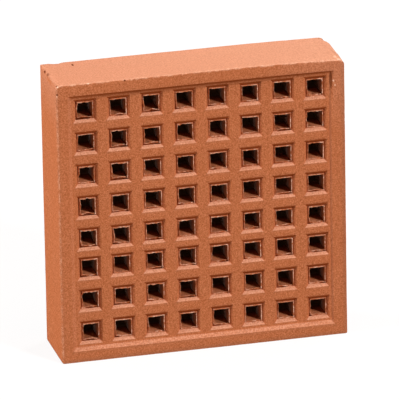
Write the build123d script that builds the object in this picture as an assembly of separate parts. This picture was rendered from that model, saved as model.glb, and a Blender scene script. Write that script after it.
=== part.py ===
from build123d import *

import os
from math import radians, tan

# Square-hole clay air brick, pressed and fired as one piece.
# The brick stands on its long edge. +Z is up, +X runs along the face, and the face looks towards -Y.
# The origin is at the middle of the underside. All sizes are in millimetres.

# Overall size of the brick: three wall courses high and one brick long
WIDTH = 215.0
HEIGHT = 215.0
DEPTH = 50.0

# Rounding of the brick's outer edges
TOP_CORNER_RADIUS = 3.0
BOTTOM_CORNER_RADIUS = 1.2
FACE_ARRIS_RADIUS = 0.6

# Raised flat rim round the face, with a sloped step down to the sunk panel
RIM_WIDTH = 9.0
PANEL_DEPTH = 2.0
PANEL_STEP_RUN = 2.7

# Grid of square holes on the panel
COLUMNS = 8
ROWS = 8
SIDE_MARGIN = 1.2
END_MARGIN = 1.0
CLOSE_ROW = 6
CLOSE_ROW_RISE = 2.1

# One hole: a sloped mouth, a flat ledge at its foot, then a shaft that widens towards the back
MOUTH_SIDE = 18.0
MOUTH_RUN = 2.2
MOUTH_DEPTH = 2.2
LEDGE_WIDTH = 1.1
SHAFT_DRAFT = 1.0

# Sizes that follow from the ones above
FACE_Y = -DEPTH / 2
BACK_Y = DEPTH / 2
PANEL_Y = FACE_Y + PANEL_DEPTH
LEDGE_Y = PANEL_Y + MOUTH_DEPTH
PANEL_WIDTH = WIDTH - 2 * (RIM_WIDTH + PANEL_STEP_RUN)
PANEL_HEIGHT = HEIGHT - 2 * (RIM_WIDTH + PANEL_STEP_RUN)
LEDGE_SIDE = MOUTH_SIDE - 2 * MOUTH_RUN
SHAFT_FRONT_SIDE = LEDGE_SIDE - 2 * LEDGE_WIDTH
SHAFT_BACK_SIDE = SHAFT_FRONT_SIDE + 2 * (BACK_Y - LEDGE_Y) * tan(radians(SHAFT_DRAFT))


def face_plane(y):
    """A plane that looks out of the face at depth y, with X to the right and Z up."""
    return Plane(origin=(0, y, HEIGHT / 2), x_dir=(1, 0, 0), z_dir=(0, -1, 0))


def sloped_pocket(front_width, front_height, front_y, back_width, back_height, back_y):
    """A four-sided solid between two rectangles that share the brick's centre line."""
    front = face_plane(front_y) * Rectangle(front_width, front_height)
    back = face_plane(back_y) * Rectangle(back_width, back_height)
    return loft([front.face(), back.face()], ruled=True)


def blank():
    """The plain block, with worn top corners and softened edges round the face and the back."""
    outline = Rectangle(WIDTH, HEIGHT)
    corners = outline.vertices().sort_by(Axis.Y)
    outline = fillet(corners[:2], BOTTOM_CORNER_RADIUS)
    corners = outline.vertices().sort_by(Axis.Y)
    outline = fillet(corners[-2:], TOP_CORNER_RADIUS)
    block = extrude(face_plane(FACE_Y) * outline, amount=-DEPTH)
    rims = block.faces().filter_by(Axis.Y).edges()
    return fillet(rims, FACE_ARRIS_RADIUS)


def panel_pocket():
    """The shallow sunk panel inside the rim."""
    return sloped_pocket(
        PANEL_WIDTH + 2 * PANEL_STEP_RUN,
        PANEL_HEIGHT + 2 * PANEL_STEP_RUN,
        FACE_Y,
        PANEL_WIDTH,
        PANEL_HEIGHT,
        PANEL_Y,
    )


def hole_tool():
    """The space of one hole, from the panel to the back, at the middle of the face."""
    mouth = sloped_pocket(MOUTH_SIDE, MOUTH_SIDE, PANEL_Y, LEDGE_SIDE, LEDGE_SIDE, LEDGE_Y)
    shaft = sloped_pocket(
        SHAFT_FRONT_SIDE,
        SHAFT_FRONT_SIDE,
        LEDGE_Y,
        SHAFT_BACK_SIDE,
        SHAFT_BACK_SIDE,
        BACK_Y,
    )
    return mouth + shaft


def column_places():
    """X of each column of holes, from left to right."""
    span = PANEL_WIDTH - 2 * SIDE_MARGIN - MOUTH_SIDE
    pitch = span / (COLUMNS - 1)
    return [-span / 2 + pitch * column for column in range(COLUMNS)]


def row_places():
    """Z of each row of holes from the middle of the face, from the top down.

    The rows from CLOSE_ROW down stand CLOSE_ROW_RISE nearer to the ones above than an even pitch gives.
    """
    span = PANEL_HEIGHT - 2 * END_MARGIN - MOUTH_SIDE
    pitch = (span + CLOSE_ROW_RISE) / (ROWS - 1)
    places = []
    for row in range(ROWS):
        rise = CLOSE_ROW_RISE if row + 1 >= CLOSE_ROW else 0.0
        places.append(span / 2 - pitch * row + rise)
    return places


def air_brick():
    """The whole brick: the block, less its panel and its holes."""
    tool = hole_tool()
    holes = [tool.moved(Location((x, 0, z))) for z in row_places() for x in column_places()]
    return blank() - panel_pocket() - holes


os.makedirs("parts", exist_ok=True)
brick = air_brick().solid()
brick.label = "air_brick"
export_step(brick, "parts/air_brick.step")
print("air_brick", brick.is_valid, "volume", round(brick.volume), "box", brick.bounding_box().size)
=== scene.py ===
import itertools
import math

import bpy
import numpy as np
from mathutils import Matrix, Vector


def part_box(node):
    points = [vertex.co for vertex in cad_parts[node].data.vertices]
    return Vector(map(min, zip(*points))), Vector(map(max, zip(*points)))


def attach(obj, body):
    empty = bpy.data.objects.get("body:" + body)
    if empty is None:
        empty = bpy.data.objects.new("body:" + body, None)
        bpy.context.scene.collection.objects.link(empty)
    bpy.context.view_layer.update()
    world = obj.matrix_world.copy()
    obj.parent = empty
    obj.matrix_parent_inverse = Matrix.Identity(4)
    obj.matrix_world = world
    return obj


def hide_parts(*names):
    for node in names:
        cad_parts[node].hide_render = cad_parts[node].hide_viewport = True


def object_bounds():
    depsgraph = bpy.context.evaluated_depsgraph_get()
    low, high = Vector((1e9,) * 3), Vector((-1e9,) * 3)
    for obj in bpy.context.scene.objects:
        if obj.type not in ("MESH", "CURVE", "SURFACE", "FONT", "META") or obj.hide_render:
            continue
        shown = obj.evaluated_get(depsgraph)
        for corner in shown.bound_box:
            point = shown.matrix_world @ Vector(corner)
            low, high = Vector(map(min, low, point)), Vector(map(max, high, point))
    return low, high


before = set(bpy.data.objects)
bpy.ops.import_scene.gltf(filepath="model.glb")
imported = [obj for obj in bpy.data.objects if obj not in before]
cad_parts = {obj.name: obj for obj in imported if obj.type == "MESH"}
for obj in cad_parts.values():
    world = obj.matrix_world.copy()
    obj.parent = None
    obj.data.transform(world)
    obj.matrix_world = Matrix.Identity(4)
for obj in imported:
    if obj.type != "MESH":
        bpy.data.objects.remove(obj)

# A square-hole clay air brick, standing on its edge. Shapes are worked out in millimetres, in the
# frame's axes: +X right along the face, +Y from the face to the back, +Z up.

MM = 0.001
SEED = 7
cad_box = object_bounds()
brick_low, brick_high = (np.array(corner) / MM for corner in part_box("air_brick"))

# The brick's outer faces
LEFT_X, FACE_Y, BOTTOM_Z = brick_low
RIGHT_X, BACK_Y, TOP_Z = brick_high

# Rounding of the corners that run from the face to the back: at the face, halfway and at the back
CORNER_RADIUS = {"bottom": (1.2, 1.2, 1.2), "top_left": (2.2, 5.0, 0.5), "top_right": (4.0, 4.2, 3.6)}

# The top right corner sank in the kiln: where that starts, along X and Z, how far the corner went at the face
# and behind it, and how far behind the face that is
DROOP_START = (30.0, 203.0)
DROOP_DEPTH = (2.1, 1.0)
DROOP_FADE = 12.0

# Where the flat rim of the face ends and where the sunk panel starts, on the left, right, bottom and top, and
# how deep the panel lies
RIM_EDGE = np.array([8.75, 8.8, 8.8, 8.85])
PANEL_EDGE = np.array([11.35, 11.5, 11.4, 11.8])
PANEL_DEPTH = 2.0

# Grid of holes on the panel: it leans to the right towards the bottom, its middle bows right and up, its top
# right corner sags, and from the close row on, counted from the top, the rows stand higher. A mouth's edge
# sits a little off the middle of what lies behind it and is a little taller, and holes vary in half their
# size and in place
COLUMNS = 8
ROWS = 8
COLUMN_SPAN = 171.2
ROW_SPAN = 171.5
GRID_MIDDLE = (0.36, 107.8)
GRID_LEAN = 0.32
GRID_BOW = (0.37, 0.28)
GRID_SAG = 0.65
CLOSE_ROW = 6
CLOSE_ROW_RISE = 2.1
MOUTH_HALF = np.array([8.73, 8.97])
MOUTH_OFFSET = np.array([-0.12, 0.2])
FOOT_TRIM = np.array([0.0, 0.17])
HALF_SPREAD = 0.1
CENTRE_SPREAD = 0.12

# How finely the rings of points are divided, on one side of a hole
FRONT_STEPS = 20
BACK_STEPS = 10

# One hole from the panel inwards: (way in from the mouth's edge, depth behind the panel), and for the burr at
# the foot of the mouth also which share of its paleness shows there
MOUTH_EDGE = [(-0.15, 0.0), (0.03, 0.07), (0.25, 0.25)]
BEVEL = [(1.17, 1.32), (1.92, 2.1)]
GROOVE = (2.17, 2.75)
LIP = [(2.42, 2.25, 0.35), (2.72, 1.95, 0.9), (3.02, 2.08, 1.0), (3.02, 2.7, 0.4)]
SHAFT_START = (2.82, 3.5)

# On the bottom, right, top and left of a hole: how dark a band of painted shade is on the panel beside it,
# how pale the bevel is from a pale wash and painted highlight, and how much painted light brightens the start
# of the shaft
MOUTH_PAINTED_SHADE = np.array([0.22, 0.0, 0.0, 0.0])
BEVEL_WASH_AND_HIGHLIGHT = np.array([0.42, 0.0, 0.0, 0.0])
SHAFT_START_PAINTED_LIGHT = np.array([0.15, 0.0, 0.0, 0.0])

# The shaft widens evenly from its start to the back: depth in it, and how much painted shade darkens its
# bottom, right, top and left side there. Half its size at the back, and its edge there: (widening, way before
# the back)
SHAFT_DEPTHS = [(9.0, (0.0, 0.75, 0.75, 0.75)), (18.0, (1.0, 1.0, 1.0, 1.0)), (30.0, (1.0, 1.0, 1.0, 1.0))]
SHAFT_BACK_HALF = np.array([6.4, 6.7])
BACK_EDGE = [(0.0, 0.55), (0.2, 0.1), (0.7, 0.0)]

# The burr round a hole, on its bottom, right, top and left side: how far it stands forward, how ragged its
# edge is, how deep the gaps broken out of it are and how pale it is, as pale clay with a painted highlight.
# Where it is torn off the bevel: how deep the slit behind it is, how far that goes under the bevel and how
# wide it is
LIP_RISE = np.array([0.0, 0.5, 0.15, 0.1])
LIP_RAGGED = np.array([0.28, 0.12, 0.2, 0.15])
LIP_GAPS = np.array([1.4, 0.2, 0.25, 0.5])
LIP_PALE_AND_HIGHLIGHT = np.array([0.55, 1.35, 0.7, 0.4])
SLIT_DEPTH = np.array([3.5, 0.2, 0.0, 4.0])
SLIT_UNDERCUT = np.array([2.4, 0.0, 0.0, 0.0])
SLIT_WIDTH = np.array([0.8, 0.0, 0.0, 0.6])

# How strong a hole's burr is, at least and at most, how much more in the left half of the face, and how many
# patterns it may have
LIP_STRENGTH = (0.5, 1.3)
LEFT_LIP_EXTRA = 0.4
LIP_PATTERNS = 1000

# The burr's pattern: size of its waves and of the ripples on them, the height of these, size of what stands
# up, size of the gaps, how much of their noise gives none, and how far the edge draws back in them
LIP_WAVE_SIZE = 1.9
LIP_RIPPLE_SIZE = 1.1
LIP_RIPPLE_SHARE = 0.7
LIP_LIFT_SIZE = 1.6
LIP_GAP_SIZE = 2.6
LIP_GAP_START = 0.1
LIP_GAP_DRAW = 0.4

# How much of a burr is torn off: in most holes, and in some by their column from the left and row from the
# bottom, both from 0. Size of the torn stretches
TORN_SHARE = 0.12
TORN_HOLES = {
    (0, 7): 0.25,
    (1, 6): 0.8,
    (2, 6): 0.8,
    (2, 7): 0.4,
    (0, 4): 0.4,
    (1, 5): 0.35,
    (2, 3): 0.5,
    (3, 7): 0.4,
}
TORN_SIZE = 5.0

# Outer skin of the brick: on the face and on the back (way in from the outer faces, depth), how far the rim's
# inner edge is rounded, and on the sides the depth of the first two rings behind the face, the number of
# rings from the second on, and how far before the back the last one lies
FACE_RIM = [(0.13, 0.15), (0.6, 0.0), (1.3, 0.0), (3.6, 0.0), (6.2, 0.0)]
BACK_RIM = [(0.13, 0.15), (0.6, 0.0), (6.5, 0.0)]
RIM_ROUNDING = 0.2
FACE_SIDE_DEPTHS = [0.6, 3.2]
SIDE_RINGS = 20
SIDE_BACK_DEPTH = 0.6

# On the bottom, right, top and left: no shade, how pale the worn edges of the face, of the sides beside it
# and of the back are, and how wide those on the face and on the back are
NO_SHADE = np.zeros(4)
FACE_ARRIS_PALE = np.array([0.0, 0.0, 0.3, 0.3])
SIDE_ARRIS_PALE = np.array([0.0, 0.0, 0.35, 0.2])
BACK_ARRIS_PALE = np.full(4, 0.3)
ARRIS_WIDTH = 1.0

# How dark a band of painted shade along the rim's edge is, on the bottom, right, top and left, and how wide
# that is
EDGE_PAINTED_SHADE = np.array([0.25, 0.25, 0.0, 0.1])
EDGE_SHADE_WIDTH = 2.0

# The left edge of the face is worn: how far in from the left, how deep and how wide
LEFT_WEAR = 0.7
LEFT_WEAR_DEPTH = 1.2
LEFT_WEAR_WIDTH = 2.0

# The step from the rim down to the panel, on the bottom, right, top and left: share of the way down at each
# share of the way across it, how pale it is from a pale wash and painted highlight, how much painted shade
# darkens the rim above it and its foot, and at which share across the foot starts
STEP_ACROSS = [0.0, 0.08, 0.35, 0.65, 0.92]
STEP_DOWN = np.array(
    [
        [0.02, 0.09, 0.36, 0.68, 0.965],
        [0.0, 0.02, 0.08, 0.3, 0.84],
        [0.02, 0.12, 0.55, 0.88, 0.98],
        [0.02, 0.09, 0.35, 0.65, 0.92],
    ]
)
STEP_WASH_AND_HIGHLIGHT = np.array([0.26, 0.0, 0.0, 0.06])
STEP_TOP_PAINTED_SHADE = np.array([0.2, 0.0, 0.0, 0.0])
STEP_FOOT_PAINTED_SHADE = np.array([0.0, 0.22, 0.0, 0.0])
STEP_FOOT_START = 0.5

# Near its top right corner the step is wider and drops at once: how far that reaches from the brick's right
# and top, how much wider it is, and its share of the way down on the right
STEP_CORNER_REACH = (14.0, 40.0)
STEP_CORNER_WIDENING = 0.9
STEP_CORNER_DOWN = [0.0, 0.03, 0.5, 0.95, 1.0]

# Points of the outer skin draw together near its corners: distance from the corner, before and after
CROWDING = ([0.0, 5.0, 10.0, 500.0], [0.0, 2.5, 10.0, 500.0])

# Unevenness of the hand-pressed clay: height, size and seed of each layer of waves. How far the outer faces
# lie in, how deep a skin that is, how far their worn edges reach and how far those lie in
UNEVEN = [(0.08, 42.0, 1), (0.04, 9.0, 2), (0.03, 2.6, 3)]
SKIN_SINK = 0.05
SKIN_DEPTH = 1.2
ARRIS_REACH = 1.6
ARRIS_SINK = 0.02

# Nicks in the worn edges: height, size and seed of each layer of waves, and how much of them gives none. How
# deep and how pale they are, and their share by the way from the top right corner along X and Z together
NICKS = [(1.0, 3.1, 4), (0.5, 1.5, 5)]
NICK_START = 0.42
NICK_DEPTH = 0.8
NICK_PALE = 0.4
NICK_SHARE = ([60.0, 80.0], [0.6, 0.15])

# What is pale comes and goes: mean and spread of its strength, and size and seed of the noise
PALE_MEAN = 0.5
PALE_SPREAD = 1.3
PALE_SIZE = 1.5
PALE_SEED = 6

# Painted sheen on the face, by the distance from its top right corner, and painted light on the left side, by
# the height, and how deep it goes
CORNER_PAINTED_SHEEN = ([15.0, 60.0], [0.12, 0.0])
LEFT_PAINTED_LIGHT = ([180.0, 212.0], [0.0, 0.21])
PAINTED_LIGHT_DEPTH = 0.3

# Bites out of the edges: how pale and how rough they are, size and first seed of the roughness, and for each
# its centre, then its radius along X, Y and Z
CHIP_WASH = 0.12
CHIP_ROUGH = 0.12
CHIP_ROUGH_SIZE = 2.0
CHIP_SEED = 20
CHIPS = {
    "back_corner": ((109.5, 22.0, 216.0), (7.0, 9.0, 7.6)),
    "right_edge": ((107.5, -2.0, 215.0), (3.4, 9.0, 3.2)),
    "left_corner": ((-107.9, -25.4, 215.3), (2.2, 1.6, 2.2)),
    "left_arris": ((-107.9, -25.4, 208.3), (1.4, 1.4, 1.6)),
    "top_arris": ((-56.0, -25.4, 215.4), (1.9, 1.4, 1.3)),
    "top_back": ((-95.8, 25.6, 216.0), (6.8, 4.0, 1.8)),
}

# Dark pits, two long spots of painted shade on the steps, and pale crumbs on the skin: at which share of the
# radius they end and are in full, and for each its centre, then its radius along X, Y and Z, and how strong
# it is
SPOT_FADE = (1.1, 0.7)
PITS_AND_PAINTED_SHADE = [
    ((-107.6, 11.8, 214.0), (1.6, 2.4, 1.2), 1.0),
    ((-106.3, 5.3, 213.8), (1.2, 2.2, 1.2), 0.6),
    ((-85.0, 17.2, 215.0), (0.8, 2.2, 1.0), 1.0),
    ((-106.3, -22.6, 214.5), (0.8, 1.4, 0.8), 0.8),
    ((-106.6, -25.0, 208.6), (1.0, 1.0, 0.7), 1.0),
    ((-56.4, -25.0, 214.5), (1.0, 1.0, 0.7), 1.0),
    # Painted shadow on the right step below the top right corner
    ((97.4, -24.0, 198.3), (1.2, 3.0, 7.2), 0.75),
    # Painted shade along the top step
    ((0.0, -24.0, 203.7), (110.0, 3.0, 2.3), 0.28),
]
CRUMBS = [
    ((102.4, -17.6, 213.4), (1.3, 2.2, 1.2), 0.5),
    ((103.8, -22.4, 212.9), (1.6, 1.8, 1.4), 0.6),
    ((99.0, -25.0, 198.0), (0.8, 1.0, 0.8), 0.7),
    ((100.2, -25.0, 194.5), (0.6, 1.0, 0.6), 0.7),
    ((-83.2, -24.8, 215.0), (1.0, 1.0, 0.6), 0.9),
    ((-106.2, -25.0, 214.6), (0.9, 1.0, 0.9), 0.9),
    ((-107.3, -25.0, 207.2), (0.8, 1.0, 0.9), 0.9),
    ((-88.5, -22.0, 187.0), (0.7, 1.0, 0.6), 1.0),
]

# Colours as they show in even light, red, green and blue from 0 to 255
# Painted shade on what looks down
CLAY_PAINTED_UNDERSHADE = (178, 78, 24)
CLAY_DARK = (150, 77, 40)
CLAY_BASE = (188, 106, 64)
CLAY_LIGHT = (214, 135, 94)
CLAY_PALE = (236, 186, 160)
# Pale burr and crumbs; on the burrs it also paints highlights
CLAY_BURR_AND_HIGHLIGHT = (250, 210, 182)
# Dust, which also paints a highlight on the top side
CLAY_DUST_AND_HIGHLIGHT = (228, 168, 138)
# Pits, and also painted shade along the top step and the right step
CLAY_PIT_AND_PAINTED_SHADE = (104, 48, 22)
# Painted shade in the shafts and along edges, and below it the colour the deepest painted shade turns to
CLAY_PAINTED_SHADE = (114, 86, 72)
CLAY_DEEP_PAINTED_SHADE = (150, 146, 142)
WHITE = (255, 255, 255)

# Noise in the clay: size of its lumps in millimetres, detail and roughness
BLOTCHES = (18, 3, 0.5)
MOTTLE = (1.2, 3, 0.65)
GRAIN = (0.8, 3, 0.6)
FLECKS = (1.4, 2, 0.6)
CRUMBLE = (1.2, 2, 0.6)

# Noise to share of a colour: range of the noise, then the shares at its ends
MOTTLE_LIGHT = (0.3, 0.7, 0.0, 1.0)
BLOTCH_BASE = (0.35, 0.65, 0.25, 0.55)
GRAIN_LIGHT = (0.54, 0.68, 0.0, 0.8)
GRAIN_DARK = (0.44, 0.31, 0.0, 0.8)
FLECK_PALE = (0.52, 0.64, 0.0, 0.25)
CRUMBLE_PALE = (0.42, 0.58, 0.35, 1.0)
# Share of the pale wash and painted light
CRUMBLE_WASH_AND_LIGHT = (0.35, 1.0, 0.55, 0.9)

# How far a surface looks up, from -1 to 1, to a share: painted shade on what looks down, and flecks on
# slopes, which start within one range and end within the other
DOWNWARD_PAINTED_SHADE = (-0.2, -0.7, 0.0, 0.7)
SLOPE_START = (0.4, 0.55)
SLOPE_END = (0.9, 0.8)

# Dust and a painted highlight on the top side: how far below the top it starts and is in full, how far the
# surface looks up there, its share at the left and at the right end, and how it varies with the mottle
DUST_AND_HIGHLIGHT_BELOW_TOP = (12.0, 10.0)
DUST_AND_HIGHLIGHT_UPWARD = (0.3, 0.9)
DUST_AND_HIGHLIGHT_ENDS = (0.58, 0.84)
DUST_AND_HIGHLIGHT_MOTTLE = (0.3, 0.7, 0.6, 1.1)

# From which strength on the painted shade turns to the paler, greyer colour of the deepest painted shade, and
# by which it has
SHADE_TO_DEEP_SHADE = (0.72, 0.95)

# Roughness by the mottle, and the bumps: how strong, how high in millimetres, and the mottle's share of them
MOTTLE_ROUGHNESS = (0.3, 0.7, 0.84, 0.97)
BUMP_STRENGTH = 0.8
BUMP_HEIGHT = 0.5
BUMP_MOTTLE = 0.8


# Shape of the brick

# Random values that the noise picks by a hash of the place and the seed, and the factors of that hash
TABLE_LENGTH = 65537
RANDOM_TABLE = np.random.default_rng(SEED).uniform(-1.0, 1.0, TABLE_LENGTH)
LATTICE_HASH = np.array([73856093, 19349663, 83492791])
SEED_HASH = 15485863

# Edges between faces that meet at more than this many degrees look sharp
SHARP_ANGLE = 52

# Least length of a direction, so that none is divided by nothing
LEAST_LENGTH = 1e-9


def noise(points, size, seed):
    """Smooth random values from -1 to 1 that change over about size millimetres."""
    places = points / size
    cells = np.floor(places).astype(np.int64)
    part = places - cells
    part = part * part * (3 - 2 * part)
    total = np.zeros(len(points))
    for corner in itertools.product((0, 1), repeat=3):
        codes = (cells + corner) @ LATTICE_HASH + seed * SEED_HASH
        weights = np.where(corner, part, 1 - part).prod(axis=1)
        total += RANDOM_TABLE[codes % TABLE_LENGTH] * weights
    return total


def waves(points, layers):
    """Layers of noise added up, each with its height, size and seed."""
    return sum(height * noise(points, size, seed) for height, size, seed in layers)


def ring_points(xs, zs, y):
    """Points round a rectangle, anticlockwise as the face shows it, from the bottom left corner."""
    x = np.concatenate([xs[:-1], np.full(len(zs) - 1, xs[-1]), xs[:0:-1], np.full(len(zs) - 1, xs[0])])
    z = np.concatenate([np.full(len(xs) - 1, zs[0]), zs[:-1], np.full(len(xs) - 1, zs[-1]), zs[:0:-1]])
    return np.stack([x, np.full(len(x), y), z], axis=1)


class Skin:
    """Rings of points and the faces between them."""

    def __init__(self):
        self.points = []
        self.pale = []
        self.wash_and_painted_light = []
        self.painted_shade = []
        self.faces = []
        self.count = 0

    def ring(self, points, pale=0.0, wash_and_painted_light=0.0, painted_shade=0.0):
        """Adds a ring of points and gives their numbers.

        The clay there may be pale in crumbs; a wash that is partly painted light makes it evenly pale, and
        painted shade darkens it.
        """
        numbers = np.arange(self.count, self.count + len(points))
        self.points.append(points)
        self.pale.append(np.broadcast_to(pale, len(points)))
        self.wash_and_painted_light.append(np.broadcast_to(wash_and_painted_light, len(points)))
        self.painted_shade.append(np.broadcast_to(painted_shade, len(points)))
        self.count += len(points)
        return numbers

    def join(self, first, second):
        """Fills the band between two rings. One of them may have twice as many points as the other."""
        first_next, second_next = np.roll(first, -1), np.roll(second, -1)
        if len(first) == len(second):
            self.faces += np.stack([first, first_next, second_next, second], axis=1).tolist()
        elif len(first) > len(second):
            even, odd, after = first[::2], first[1::2], np.roll(first[::2], -1)
            self.faces += np.stack([even, odd, second], axis=1).tolist()
            self.faces += np.stack([odd, after, second_next], axis=1).tolist()
            self.faces += np.stack([odd, second_next, second], axis=1).tolist()
        else:
            even, odd, after = second[::2], second[1::2], np.roll(second[::2], -1)
            self.faces += np.stack([first, odd, even], axis=1).tolist()
            self.faces += np.stack([first, first_next, odd], axis=1).tolist()
            self.faces += np.stack([first_next, after, odd], axis=1).tolist()

    def join_all(self, rings):
        for first, second in zip(rings, rings[1:]):
            self.join(first, second)

    def merged(self):
        """Points, shades and faces, with the points that rings share made one."""
        points, first, numbers = np.unique(
            np.concatenate(self.points), axis=0, return_index=True, return_inverse=True
        )
        numbers = numbers.ravel()
        shades = [np.concatenate(shade)[first] for shade in (self.pale, self.wash_and_painted_light, self.painted_shade)]
        return points, shades, [[int(numbers[corner]) for corner in face] for face in self.faces]


def grid_places():
    """X of each column of holes from the left, and Z of each row from the bottom."""
    row_pitch = (ROW_SPAN + CLOSE_ROW_RISE) / (ROWS - 1)
    columns = GRID_MIDDLE[0] + np.linspace(-COLUMN_SPAN / 2, COLUMN_SPAN / 2, COLUMNS)
    rows = GRID_MIDDLE[1] + ROW_SPAN / 2 - row_pitch * np.arange(ROWS)
    rows[CLOSE_ROW - 1:] += CLOSE_ROW_RISE
    return columns, rows[::-1]


def hole_centre(columns, rows, column, row):
    """Where a hole really is, as the grid leans and bows."""
    across = 2 * column / (COLUMNS - 1) - 1
    upward = 2 * row / (ROWS - 1) - 1
    bow = 1 - across ** 2
    sag = GRID_SAG * max(across, 0) ** 2 * max(upward, 0)
    return columns[column] - GRID_LEAN * upward + GRID_BOW[0] * bow, rows[row] + GRID_BOW[1] * bow - sag


def cell_lines(centres, low, high):
    """Borders of the cells round the holes: panel edges at the ends, and halfway between holes."""
    return np.concatenate([[low], (centres[1:] + centres[:-1]) / 2, [high]])


def cell_ring(cell_x, cell_z, y, steps):
    """Points round a cell between two X and two Z, with a number of steps on each side."""
    return ring_points(np.linspace(*cell_x, steps + 1), np.linspace(*cell_z, steps + 1), y)


def hole_ring(centre, half, y, steps):
    """Points round a hole of half a width and half a height."""
    low, high = centre - half, centre + half
    return cell_ring((low[0], high[0]), (low[1], high[1]), y, steps)


def inwards(points, centre):
    """Directions from points round a hole towards its axis."""
    way = np.array([centre[0], 0, centre[1]]) - points
    way[:, 1] = 0
    return way / np.abs(way).max(axis=1, keepdims=True)


def ragged_lip(points, centre, side_of, strength, tear, seed):
    """The burr at the foot of a mouth: its edge is pulled in and out, and stands up unevenly."""
    ragged = LIP_RAGGED[side_of] * strength
    gaps = LIP_GAPS[side_of] * strength * np.clip(noise(points, LIP_GAP_SIZE, seed + 3) - LIP_GAP_START, 0, 1)
    wave = noise(points, LIP_WAVE_SIZE, seed) + LIP_RIPPLE_SHARE * noise(points, LIP_RIPPLE_SIZE, seed + 1)
    lift = noise(points, LIP_LIFT_SIZE, seed + 2)
    away = SLIT_WIDTH[side_of] * torn(points, strength, tear, seed)
    moved = points + inwards(points, centre) * (ragged * wave - LIP_GAP_DRAW * gaps + away)[:, None]
    moved[:, 1] -= LIP_RISE[side_of] + ragged * lift - gaps
    return moved


def torn(points, strength, tear, seed):
    """How far the burr is torn off the bevel, from 0 to about 1."""
    return strength * np.clip(noise(points, TORN_SIZE, seed + 4) + tear, 0, 1)


def add_hole(skin, random, column, row, cell_x, cell_z, centre):
    """One hole from the panel to the back, in its cell of the grid."""
    panel_y = FACE_Y + PANEL_DEPTH
    half = MOUTH_HALF + random.normal(0, HALF_SPREAD, 2)
    centre = np.array(centre) + random.normal(0, CENTRE_SPREAD, 2)
    foot = half - FOOT_TRIM
    strength = random.uniform(*LIP_STRENGTH) + (LEFT_LIP_EXTRA if column < COLUMNS / 2 else 0.0)
    seed = int(random.integers(LIP_PATTERNS))
    tear = TORN_HOLES.get((column, row), TORN_SHARE)
    side_of = np.arange(4 * FRONT_STEPS) // FRONT_STEPS

    border = cell_ring(cell_x, cell_z, panel_y, FRONT_STEPS)
    rings = [skin.ring(border)]
    mouth = centre + MOUTH_OFFSET
    first = hole_ring(mouth, half - MOUTH_EDGE[0][0], panel_y, FRONT_STEPS)
    rings.append(skin.ring((border + first) / 2))
    for inset, depth in MOUTH_EDGE:
        edge = hole_ring(mouth, half - inset, panel_y + depth, FRONT_STEPS)
        # Pale wash and painted highlight on the mouth's edge, and a band of painted shade on the panel beside
        # it
        wash_and_painted_light = BEVEL_WASH_AND_HIGHLIGHT[side_of] * (inset > 0)
        painted_shade = MOUTH_PAINTED_SHADE[side_of] * (inset < 0)
        rings.append(skin.ring(edge, wash_and_painted_light=wash_and_painted_light, painted_shade=painted_shade))
    for inset, depth in BEVEL:
        bevel = hole_ring(centre, foot - inset, panel_y + depth, FRONT_STEPS)
        rings.append(skin.ring(bevel, wash_and_painted_light=BEVEL_WASH_AND_HIGHLIGHT[side_of]))
    groove = hole_ring(centre, foot - GROOVE[0], panel_y + GROOVE[1], FRONT_STEPS)
    tears = torn(groove, strength, tear, seed)
    groove -= inwards(groove, centre) * (SLIT_UNDERCUT[side_of] * tears)[:, None]
    groove[:, 1] += SLIT_DEPTH[side_of] * tears
    rings.append(skin.ring(groove))
    for inset, depth, pale in LIP:
        lip = hole_ring(centre, foot - inset, panel_y + depth, FRONT_STEPS)
        lip = ragged_lip(lip, centre, side_of, strength, tear, seed)
        # The burr's paleness, partly a painted highlight
        rings.append(skin.ring(lip, pale * LIP_PALE_AND_HIGHLIGHT[side_of]))
    inset, depth = SHAFT_START
    shaft_half, shaft_y = foot - inset, panel_y + depth
    # Painted light on the start of the shaft
    rings.append(skin.ring(hole_ring(centre, shaft_half, shaft_y, FRONT_STEPS), wash_and_painted_light=SHAFT_START_PAINTED_LIGHT[side_of]))
    # Painted shade darkening the shaft inside
    for depth, painted_shade in SHAFT_DEPTHS:
        share = depth / (BACK_Y - shaft_y)
        wall = shaft_half + share * (SHAFT_BACK_HALF - shaft_half)
        inside = hole_ring(centre, wall, shaft_y + depth, BACK_STEPS)
        rings.append(skin.ring(inside, painted_shade=np.repeat(painted_shade, BACK_STEPS)))
    for widening, before_back in BACK_EDGE:
        edge = hole_ring(centre, SHAFT_BACK_HALF + widening, BACK_Y - before_back, BACK_STEPS)
        rings.append(skin.ring(edge))
    rings.append(skin.ring(cell_ring(cell_x, cell_z, BACK_Y, BACK_STEPS)))
    skin.join_all(rings)


def crowded(places):
    """Places along one side, drawn together near its two ends so that the corners come out round."""
    low, high = places[0], places[-1]
    from_low, from_high = (np.interp(distance, *CROWDING) for distance in (places - low, high - places))
    return np.where(places < (low + high) / 2, low + from_low, high - from_high)


def outline(xs, zs, insets, y):
    """Points round the brick at depth y, set in from its left, right, bottom and top."""
    left, right, bottom, top = np.broadcast_to(insets, 4)
    ring_x = np.interp(xs, [xs[0], xs[-1]], [LEFT_X + left, RIGHT_X - right])
    ring_z = np.interp(zs, [zs[0], zs[-1]], [BOTTOM_Z + bottom, TOP_Z - top])
    return ring_points(ring_x, ring_z, y)


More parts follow.
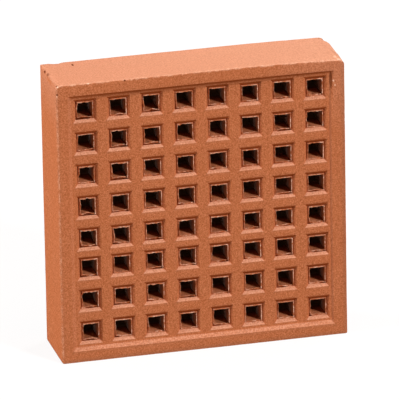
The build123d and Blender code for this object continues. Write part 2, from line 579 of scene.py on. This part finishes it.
def rounded(points, inset, y):
    """Rounds the corners of an outline that lies inset from the outer faces at depth y."""
    corners = {
        (LEFT_X, BOTTOM_Z): "bottom",
        (RIGHT_X, BOTTOM_Z): "bottom",
        (LEFT_X, TOP_Z): "top_left",
        (RIGHT_X, TOP_Z): "top_right",
    }
    middle = np.array([LEFT_X + RIGHT_X, BOTTOM_Z + TOP_Z]) / 2
    flat = points[:, [0, 2]]
    for corner, name in corners.items():
        radius = np.interp(y, [FACE_Y, (FACE_Y + BACK_Y) / 2, BACK_Y], CORNER_RADIUS[name]) - inset
        if radius <= 0:
            continue
        towards = np.sign(np.array(corner) - middle)
        centre = np.array(corner) - towards * (inset + radius)
        out = (flat - centre) * towards
        beyond = (out > 0).all(axis=1)
        shrink = radius / np.linalg.norm(out[beyond], axis=1)
        flat[beyond] = centre + towards * out[beyond] * shrink[:, None]
    points[:, [0, 2]] = flat
    return points


def near_top_right(points, near, far):
    """1 within near of the brick's right and of its top, falling to 0 at far from either."""
    shares = [
        np.interp(edge - points[:, axis], [near, far], [1, 0]) for axis, edge in ((0, RIGHT_X), (2, TOP_Z))
    ]
    return shares[0] * shares[1]


def add_outside(skin, xs, zs):
    """The back's border, the four sides, the rim of the face and the step down to the panel."""
    outer_x, outer_z = crowded(xs), crowded(zs)
    coarse = FRONT_STEPS // BACK_STEPS

    def outer_ring(inset, y, every, pale=NO_SHADE, painted_shade=NO_SHADE):
        points = outline(outer_x[::every], outer_z[::every], inset, y)
        side = len(points) // 4
        return skin.ring(rounded(points, inset, y), np.repeat(pale, side), painted_shade=np.repeat(painted_shade, side))

    def step_ring(inset, across):
        points = outline(xs, zs, inset, FACE_Y)
        points[:, 0] += STEP_CORNER_WIDENING * (1 - across) * near_top_right(points, *STEP_CORNER_REACH)
        return points

    rings = [skin.ring(ring_points(xs[::coarse], zs[::coarse], BACK_Y))]
    for inset, depth in reversed(BACK_RIM):
        rings.append(outer_ring(inset, BACK_Y - depth, coarse, BACK_ARRIS_PALE * (inset < ARRIS_WIDTH)))
    for y in np.linspace(BACK_Y - SIDE_BACK_DEPTH, FACE_Y + FACE_SIDE_DEPTHS[-1], SIDE_RINGS):
        rings.append(outer_ring(0, y, coarse))
    rings.append(outer_ring(0, FACE_Y + FACE_SIDE_DEPTHS[0], 1, SIDE_ARRIS_PALE))
    for inset, depth in FACE_RIM:
        pale = FACE_ARRIS_PALE * (inset < ARRIS_WIDTH)
        # A band of painted shade along the rim's edge
        painted_shade = EDGE_PAINTED_SHADE * (ARRIS_WIDTH < inset < EDGE_SHADE_WIDTH)
        rings.append(outer_ring(inset, FACE_Y + depth, 1, pale, painted_shade))
    rim_end = step_ring(RIM_EDGE - RIM_ROUNDING, 0)
    # Painted shade along the rim's edge above the step
    rings.append(skin.ring(rim_end, painted_shade=np.repeat(STEP_TOP_PAINTED_SHADE, len(rim_end) // 4)))
    for across, down, corner_down in zip(STEP_ACROSS, STEP_DOWN.T, STEP_CORNER_DOWN):
        edge = step_ring(RIM_EDGE + across * (PANEL_EDGE - RIM_EDGE), across)
        side = len(edge) // 4
        share = np.repeat(down, side)
        right = slice(side, 2 * side)
        share[right] += (corner_down - share[right]) * near_top_right(edge[right], *STEP_CORNER_REACH)
        depth = PANEL_DEPTH * share
        edge[:, 1] += (np.roll(depth, 1) + depth + np.roll(depth, -1)) / 3
        # Painted shade at the step's foot; pale wash and painted highlight on the step
        painted_shade = np.repeat(STEP_FOOT_PAINTED_SHADE, side) * (across > STEP_FOOT_START)
        rings.append(skin.ring(edge, wash_and_painted_light=np.repeat(STEP_WASH_AND_HIGHLIGHT, side), painted_shade=painted_shade))
    rings.append(skin.ring(ring_points(xs, zs, FACE_Y + PANEL_DEPTH)))
    skin.join_all(rings)


def point_normals(points, faces):
    """Outward direction at each point."""
    normals = np.zeros_like(points)
    for size in (3, 4):
        corners = np.array([face for face in faces if len(face) == size])
        across = points[corners[:, 2]] - points[corners[:, 0]]
        other = points[corners[:, size - 1]] - points[corners[:, 1]]
        flat = np.cross(across, other)
        for corner in corners.T:
            np.add.at(normals, corner, flat)
    return normals / np.maximum(np.linalg.norm(normals, axis=1, keepdims=True), LEAST_LENGTH)


def drooped(points):
    """The top right corner, sunk in the kiln."""
    start_x, start_z = DROOP_START
    across = np.clip((points[:, 0] - start_x) / (RIGHT_X - start_x), 0, 1)
    upward = np.clip((points[:, 2] - start_z) / (TOP_Z - start_z), 0, 1)
    sunk = points.copy()
    depth = np.interp(points[:, 1], [FACE_Y, FACE_Y + DROOP_FADE], DROOP_DEPTH)
    sunk[:, 2] -= depth * across ** 2 * upward
    return sunk


def chipped(moved, points):
    """Draws points out of the bites in the edges, and tells which ones were in a bite."""
    in_bite = np.zeros(len(moved), dtype=bool)
    for number, (centre, radii) in enumerate(CHIPS.values()):
        way = (moved - centre) / radii
        rough = 1 + CHIP_ROUGH * noise(points, CHIP_ROUGH_SIZE, CHIP_SEED + number)
        reach = np.linalg.norm(way, axis=1) / rough
        bitten = reach < 1
        moved[bitten] = centre + way[bitten] / reach[bitten, None] * radii
        in_bite |= bitten
    return moved, in_bite


def weathered(points, pale, wash_and_painted_light, faces):
    """Hand-pressed unevenness, worn edges and the bites out of them, all inside the plain block."""
    from_left, from_face = points[:, 0] - LEFT_X, points[:, 1] - FACE_Y
    from_right, from_top = RIGHT_X - points[:, 0], TOP_Z - points[:, 2]
    near = np.sort(np.minimum(points - brick_low, brick_high - points), axis=1)
    on_skin = near[:, 0] < SKIN_DEPTH
    arris = np.clip(ARRIS_REACH - near[:, 1], 0, ARRIS_REACH) / ARRIS_REACH * on_skin
    nicks = np.interp(from_right + from_top, *NICK_SHARE) * np.clip(waves(points, NICKS) - NICK_START, 0, 1)

    rise = waves(points, UNEVEN) - SKIN_SINK * on_skin - arris * (ARRIS_SINK + NICK_DEPTH * nicks)
    moved = drooped(points + point_normals(points, faces) * rise[:, None])
    worn = np.clip(1 - from_left / LEFT_WEAR_WIDTH, 0, 1) * np.clip(1 - from_face / LEFT_WEAR_DEPTH, 0, 1)
    moved[:, 0] += LEFT_WEAR * worn
    moved, in_bite = chipped(moved, points)

    wash_and_painted_light = np.where(in_bite, np.maximum(wash_and_painted_light, CHIP_WASH), wash_and_painted_light)
    # Painted sheen near the face's top right corner and painted light high on the left side
    wash_and_painted_light += np.interp(np.hypot(from_right, from_top), *CORNER_PAINTED_SHEEN) * (from_face < PAINTED_LIGHT_DEPTH)
    wash_and_painted_light += np.interp(points[:, 2], *LEFT_PAINTED_LIGHT) * (from_left < PAINTED_LIGHT_DEPTH)
    strength = PALE_MEAN + PALE_SPREAD * noise(points, PALE_SIZE, PALE_SEED)
    pale = np.clip(pale * strength + NICK_PALE * arris * nicks, 0, 1)
    return np.clip(moved, brick_low, brick_high), pale, wash_and_painted_light


def brick_mesh():
    random = np.random.default_rng(SEED)
    columns, rows = grid_places()
    left, right, bottom, top = PANEL_EDGE
    lines_x = cell_lines(columns, LEFT_X + left, RIGHT_X - right)
    lines_z = cell_lines(rows, BOTTOM_Z + bottom, TOP_Z - top)
    skin = Skin()
    for row, column in itertools.product(range(ROWS), range(COLUMNS)):
        cell_x = lines_x[column], lines_x[column + 1]
        cell_z = lines_z[row], lines_z[row + 1]
        add_hole(skin, random, column, row, cell_x, cell_z, hole_centre(columns, rows, column, row))

    def stations(lines):
        parts = [np.linspace(low, high, FRONT_STEPS + 1)[:-1] for low, high in zip(lines, lines[1:])]
        return np.concatenate(parts + [lines[-1:]])

    add_outside(skin, stations(lines_x), stations(lines_z))
    points, (pale, wash_and_painted_light, painted_shade), faces = skin.merged()
    points, pale, wash_and_painted_light = weathered(points, pale, wash_and_painted_light, faces)

    mesh = bpy.data.meshes.new("fired_clay_brick")
    mesh.from_pydata((points * MM).tolist(), [], faces)
    for name, values in (("pale", pale), ("wash_and_painted_light", wash_and_painted_light), ("painted_shade", painted_shade)):
        mesh.attributes.new(name, "FLOAT", "POINT").data.foreach_set("value", values.astype(np.float32))
    mesh.polygons.foreach_set("use_smooth", np.ones(len(faces), dtype=bool))
    mesh.set_sharp_from_angle(angle=math.radians(SHARP_ANGLE))
    mesh.validate()
    return mesh


# Fired clay

# Numbers of the colour sockets of a mix node
MIX_INPUTS = (6, 7)
MIX_OUTPUT = 2


def linear(colour):
    """A colour given from 0 to 255 as the shader takes it, by the sRGB curve."""
    share = np.array(colour) / 255
    values = np.where(share <= 0.04045, share / 12.92, ((share + 0.055) / 1.055) ** 2.4)
    return (*values.tolist(), 1.0)


class Nodes:
    """Short ways to add and link the nodes of one tree."""

    def __init__(self, tree):
        self.tree = tree

    def add(self, kind, **values):
        node = self.tree.nodes.new(kind)
        for name, value in values.items():
            setattr(node, name, value)
        return node

    def link(self, source, target):
        self.tree.links.new(source, target)

    def attribute(self, name):
        """A value kept at the points of the mesh."""
        return self.add("ShaderNodeAttribute", attribute_name=name).outputs["Fac"]

    def noise(self, coordinates, feature_mm, detail, roughness):
        """Noise whose lumps are about feature_mm across."""
        node = self.add("ShaderNodeTexNoise")
        node.inputs["Scale"].default_value = 1 / (feature_mm * MM)
        node.inputs["Detail"].default_value = detail
        node.inputs["Roughness"].default_value = roughness
        self.link(coordinates, node.inputs["Vector"])
        return node.outputs["Fac"]

    def spread(self, value, from_low, from_high, to_low=0.0, to_high=1.0):
        """A value stretched from one range to another, and held within it."""
        node = self.add("ShaderNodeMapRange")
        limits = ("From Min", from_low), ("From Max", from_high), ("To Min", to_low), ("To Max", to_high)
        for name, limit in limits:
            node.inputs[name].default_value = limit
        self.link(value, node.inputs["Value"])
        return node.outputs["Result"]

    def math(self, operation, first, second):
        node = self.add("ShaderNodeMath", operation=operation)
        for socket, value in zip(node.inputs, (first, second)):
            if isinstance(value, float):
                socket.default_value = value
            else:
                self.link(value, socket)
        return node.outputs["Value"]

    def spots(self, coordinates, places):
        """The strength of the ellipsoid that a place is in, given by centre and radii, and 0 outside them."""
        share = 0.0
        for centre, radii, strength in places:
            scaled = self.add("ShaderNodeMapping", vector_type="TEXTURE")
            scaled.inputs["Location"].default_value = Vector(centre) * MM
            scaled.inputs["Scale"].default_value = Vector(radii) * MM
            self.link(coordinates, scaled.inputs["Vector"])
            reach = self.add("ShaderNodeVectorMath", operation="LENGTH")
            self.link(scaled.outputs["Vector"], reach.inputs[0])
            spot = self.spread(reach.outputs["Value"], *SPOT_FADE, 0.0, strength)
            share = self.math("MAXIMUM", spot, share)
        return share

    def mix(self, share, first, second):
        """Two colours mixed by a share from 0 to 1."""
        node = self.add("ShaderNodeMix", data_type="RGBA")
        self.link(share, node.inputs["Factor"])
        for number, colour in zip(MIX_INPUTS, (first, second)):
            socket = node.inputs[number]
            if isinstance(colour, tuple):
                socket.default_value = linear(colour)
            else:
                self.link(colour, socket)
        return node.outputs[MIX_OUTPUT]


def bare_clay(nodes, place, mottle, grain):
    """The colour of the clay itself: mottled and blotchy, with light and dark grains."""
    mottled = nodes.mix(nodes.spread(mottle, *MOTTLE_LIGHT), CLAY_DARK, CLAY_LIGHT)
    blotches = nodes.noise(place, *BLOTCHES)
    blotchy = nodes.mix(nodes.spread(blotches, *BLOTCH_BASE), mottled, CLAY_BASE)
    speckled = nodes.mix(nodes.spread(grain, *GRAIN_LIGHT), blotchy, CLAY_LIGHT)
    return nodes.mix(nodes.spread(grain, *GRAIN_DARK), speckled, CLAY_DARK)


def shaded_dusted_and_lit(nodes, place, mottle, colour):
    """Painted shade on what looks down, dust and a painted highlight on the top side, and pale flecks on the
    slopes.
    """
    facing = nodes.add("ShaderNodeSeparateXYZ")
    nodes.link(nodes.add("ShaderNodeNewGeometry").outputs["Normal"], facing.inputs["Vector"])
    upward = facing.outputs["Z"]
    # Painted shade on what looks down
    painted_undershade = nodes.mix(nodes.spread(upward, *DOWNWARD_PAINTED_SHADE), colour, CLAY_PAINTED_UNDERSHADE)

    along = nodes.add("ShaderNodeSeparateXYZ")
    nodes.link(place, along.inputs["Vector"])
    # Dust and a painted highlight on the top side, stronger to the right
    dust_and_highlight_start, dust_and_highlight_full = ((TOP_Z - below) * MM for below in DUST_AND_HIGHLIGHT_BELOW_TOP)
    high_up = nodes.spread(along.outputs["Z"], dust_and_highlight_start, dust_and_highlight_full)
    on_top = nodes.math("MULTIPLY", high_up, nodes.spread(upward, *DUST_AND_HIGHLIGHT_UPWARD))
    dust_and_highlight_share = nodes.spread(along.outputs["X"], LEFT_X * MM, RIGHT_X * MM, *DUST_AND_HIGHLIGHT_ENDS)
    settled_and_lit = nodes.math("MULTIPLY", on_top, dust_and_highlight_share)
    dust_and_highlight = nodes.math("MULTIPLY", settled_and_lit, nodes.spread(mottle, *DUST_AND_HIGHLIGHT_MOTTLE))
    powdery_and_lit = nodes.mix(dust_and_highlight, painted_undershade, CLAY_DUST_AND_HIGHLIGHT)

    slope = nodes.math("MULTIPLY", nodes.spread(upward, *SLOPE_START), nodes.spread(upward, *SLOPE_END))
    flecks = nodes.spread(nodes.noise(place, *FLECKS), *FLECK_PALE)
    return nodes.mix(nodes.math("MULTIPLY", slope, flecks), powdery_and_lit, CLAY_PALE)


def marked(nodes, place, colour):
    """Painted shade in the shafts and along edges, pale wash and painted light, pale burrs with painted
    highlights, the crumbs, and the pits with two spots of painted shade.
    """
    painted_shade = nodes.attribute("painted_shade")
    # Painted shade, greyer where it is deepest
    painted_shade_colour = nodes.mix(nodes.spread(painted_shade, *SHADE_TO_DEEP_SHADE), CLAY_PAINTED_SHADE, CLAY_DEEP_PAINTED_SHADE)
    with_painted_shade = nodes.mix(painted_shade, colour, painted_shade_colour)
    crumble = nodes.spread(nodes.noise(place, *CRUMBLE), *CRUMBLE_PALE)
    streaks = nodes.spread(crumble, *CRUMBLE_WASH_AND_LIGHT)
    # Pale wash and painted light
    washed_and_lit = nodes.mix(nodes.math("MULTIPLY", nodes.attribute("wash_and_painted_light"), streaks), with_painted_shade, CLAY_PALE)
    # Pale burrs and worn edges, with painted highlights on the burrs
    worn = nodes.mix(nodes.math("MULTIPLY", nodes.attribute("pale"), crumble), washed_and_lit, CLAY_BURR_AND_HIGHLIGHT)
    crumbed = nodes.mix(nodes.spots(place, CRUMBS), worn, CLAY_BURR_AND_HIGHLIGHT)
    # Dark pits, and painted shade along the steps
    return nodes.mix(nodes.spots(place, PITS_AND_PAINTED_SHADE), crumbed, CLAY_PIT_AND_PAINTED_SHADE)


def clay_material():
    material = bpy.data.materials.new("fired_clay")
    material.use_nodes = True
    nodes = Nodes(material.node_tree)
    shader = material.node_tree.nodes["Principled BSDF"]
    shader.inputs["Specular IOR Level"].default_value = 0.0
    place = nodes.add("ShaderNodeTexCoord").outputs["Object"]
    mottle = nodes.noise(place, *MOTTLE)
    grain = nodes.noise(place, *GRAIN)

    clay = bare_clay(nodes, place, mottle, grain)
    colour = marked(nodes, place, shaded_dusted_and_lit(nodes, place, mottle, clay))
    nodes.link(colour, shader.inputs["Base Color"])
    nodes.link(nodes.spread(mottle, *MOTTLE_ROUGHNESS), shader.inputs["Roughness"])

    bump = nodes.add("ShaderNodeBump")
    bump.inputs["Strength"].default_value = BUMP_STRENGTH
    bump.inputs["Distance"].default_value = BUMP_HEIGHT * MM
    bumps = nodes.math("ADD", grain, nodes.math("MULTIPLY", mottle, BUMP_MOTTLE))
    nodes.link(bumps, bump.inputs["Height"])
    nodes.link(bump.outputs["Normal"], shader.inputs["Normal"])
    return material


def add_brick():
    brick = bpy.data.objects.new("fired_clay_brick", brick_mesh())
    bpy.context.scene.collection.objects.link(brick)
    brick.data.materials.append(clay_material())
    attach(brick, "root")
    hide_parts("air_brick")


# Studio

# Floor: half its side in metres, how much light it throws back, and how much of the shadow shows on it
FLOOR_HALF = 20.0
FLOOR_GREY = 0.1
FLOOR_SHADOW_SHARE = 0.14

# Light from all round: how bright, its colour, and the rays that see white instead
FILL_LEVEL = 0.14
FILL_COLOUR = (255, 180, 105)
SEEN_RAYS = ("Is Camera Ray", "Is Glossy Ray", "Is Transmission Ray")

# Lamps: direction from the brick, distance and size in metres, and how bright a white card facing it looks
LAMPS = {
    "key": ((0.48, -0.7, 0.5), 10.0, 1.6, 0.95),
    "front_left": ((-0.62, -0.78, 0.02), 1.2, 0.2, 0.12),
    "overhead": ((0.05, -0.12, 0.99), 3.0, 1.8, 0.285),
    "left": ((-0.95, -0.075, 0.3), 3.3, 0.45, 0.73),
    "back_left": ((-0.75, 0.5, 0.43), 2.0, 0.6, 0.38),
    "back_right": ((0.75, 0.45, 0.48), 3.5, 1.0, 0.36),
}

# Camera: turn, rise and roll in degrees, distance in metres, aim off the brick's middle and lens in
# millimetres, and how far it sees in metres
CAMERA_AZIMUTH = -13.89
CAMERA_ELEVATION = 20.7
CAMERA_ROLL = -1.043
CAMERA_DISTANCE = 5.8356
CAMERA_AIM_RIGHT = 3.87
CAMERA_AIM_UP = -0.21
CAMERA_LENS = 720.3
CAMERA_CLIP_END = 100.0
brick_middle = (cad_box[0] + cad_box[1]) / 2


def seen_directly(nodes):
    """1 where the camera, or a mirror or glass, sees the surface, and 0 where it only lights others."""
    path = nodes.add("ShaderNodeLightPath")
    camera, glossy, clear = (path.outputs[name] for name in SEEN_RAYS)
    return nodes.math("MAXIMUM", nodes.math("MAXIMUM", camera, glossy), clear)


def white_world():
    world = bpy.data.worlds.new("white_room")
    bpy.context.scene.world = world
    world.use_nodes = True
    nodes = Nodes(world.node_tree)
    background = world.node_tree.nodes["Background"]
    seen = seen_directly(nodes)
    nodes.link(nodes.mix(seen, FILL_COLOUR, WHITE), background.inputs["Color"])
    nodes.link(nodes.spread(seen, 0, 1, FILL_LEVEL, 1.0), background.inputs["Strength"])


def white_floor():
    """A pale floor that shows white, with a faint shadow of the brick."""
    mesh = bpy.data.meshes.new("floor")
    far = FLOOR_HALF
    mesh.from_pydata([(-far, -far, 0), (far, -far, 0), (far, far, 0), (-far, far, 0)], [], [(0, 1, 2, 3)])
    floor = bpy.data.objects.new("floor", mesh)
    bpy.context.scene.collection.objects.link(floor)
    material = bpy.data.materials.new("floor_white")
    material.use_nodes = True
    nodes = Nodes(material.node_tree)
    nodes.tree.nodes.clear()
    plain = nodes.add("ShaderNodeBsdfDiffuse")
    plain.inputs["Color"].default_value = (FLOOR_GREY, FLOOR_GREY, FLOOR_GREY, 1)
    shaded = nodes.add("ShaderNodeBsdfDiffuse")
    shaded.inputs["Color"].default_value = linear(WHITE)
    glow = nodes.add("ShaderNodeEmission")
    seen = nodes.add("ShaderNodeMixShader")
    seen.inputs["Fac"].default_value = FLOOR_SHADOW_SHARE
    nodes.link(glow.outputs["Emission"], seen.inputs[1])
    nodes.link(shaded.outputs["BSDF"], seen.inputs[2])
    either = nodes.add("ShaderNodeMixShader")
    nodes.link(seen_directly(nodes), either.inputs["Fac"])
    nodes.link(plain.outputs["BSDF"], either.inputs[1])
    nodes.link(seen.outputs["Shader"], either.inputs[2])
    output = nodes.add("ShaderNodeOutputMaterial")
    nodes.link(either.outputs["Shader"], output.inputs["Surface"])
    mesh.materials.append(material)


def add_lamps():
    """Area lamps, each with the power that makes a white card at the brick look as bright as its level."""
    for name, (direction, distance, size, level) in LAMPS.items():
        lamp = bpy.data.lights.new(name, "AREA")
        lamp.size = size
        lamp.energy = level * math.pi ** 2 * distance ** 2
        holder = bpy.data.objects.new(name, lamp)
        holder.location = brick_middle + Vector(direction).normalized() * distance
        holder.rotation_euler = Vector(direction).to_track_quat("Z", "Y").to_euler()
        holder.visible_camera = False
        bpy.context.scene.collection.objects.link(holder)


def add_camera():
    """The camera as the photo was taken: far off, a little to the left and above."""
    angles = CAMERA_AZIMUTH, CAMERA_ELEVATION, CAMERA_ROLL
    turn, rise, roll = (math.radians(angle) for angle in angles)
    back = Vector((math.sin(turn) * math.cos(rise), -math.cos(turn) * math.cos(rise), math.sin(rise)))
    level_right = Vector((math.cos(turn), math.sin(turn), 0))
    right = level_right * math.cos(roll) + back.cross(level_right) * math.sin(roll)
    up = back.cross(right)
    aim = brick_middle + (right * CAMERA_AIM_RIGHT + up * CAMERA_AIM_UP) * MM
    camera = bpy.data.cameras.new("camera")
    camera.lens = CAMERA_LENS
    camera.clip_end = CAMERA_CLIP_END
    holder = bpy.data.objects.new("camera", camera)
    axes = Matrix((right, up, back)).transposed()
    holder.matrix_world = Matrix.Translation(aim + back * CAMERA_DISTANCE) @ axes.to_4x4()
    bpy.context.scene.collection.objects.link(holder)
    bpy.context.scene.camera = holder


add_brick()
white_world()
white_floor()
add_lamps()
add_camera()
bpy.context.scene.view_settings.view_transform = "Standard"
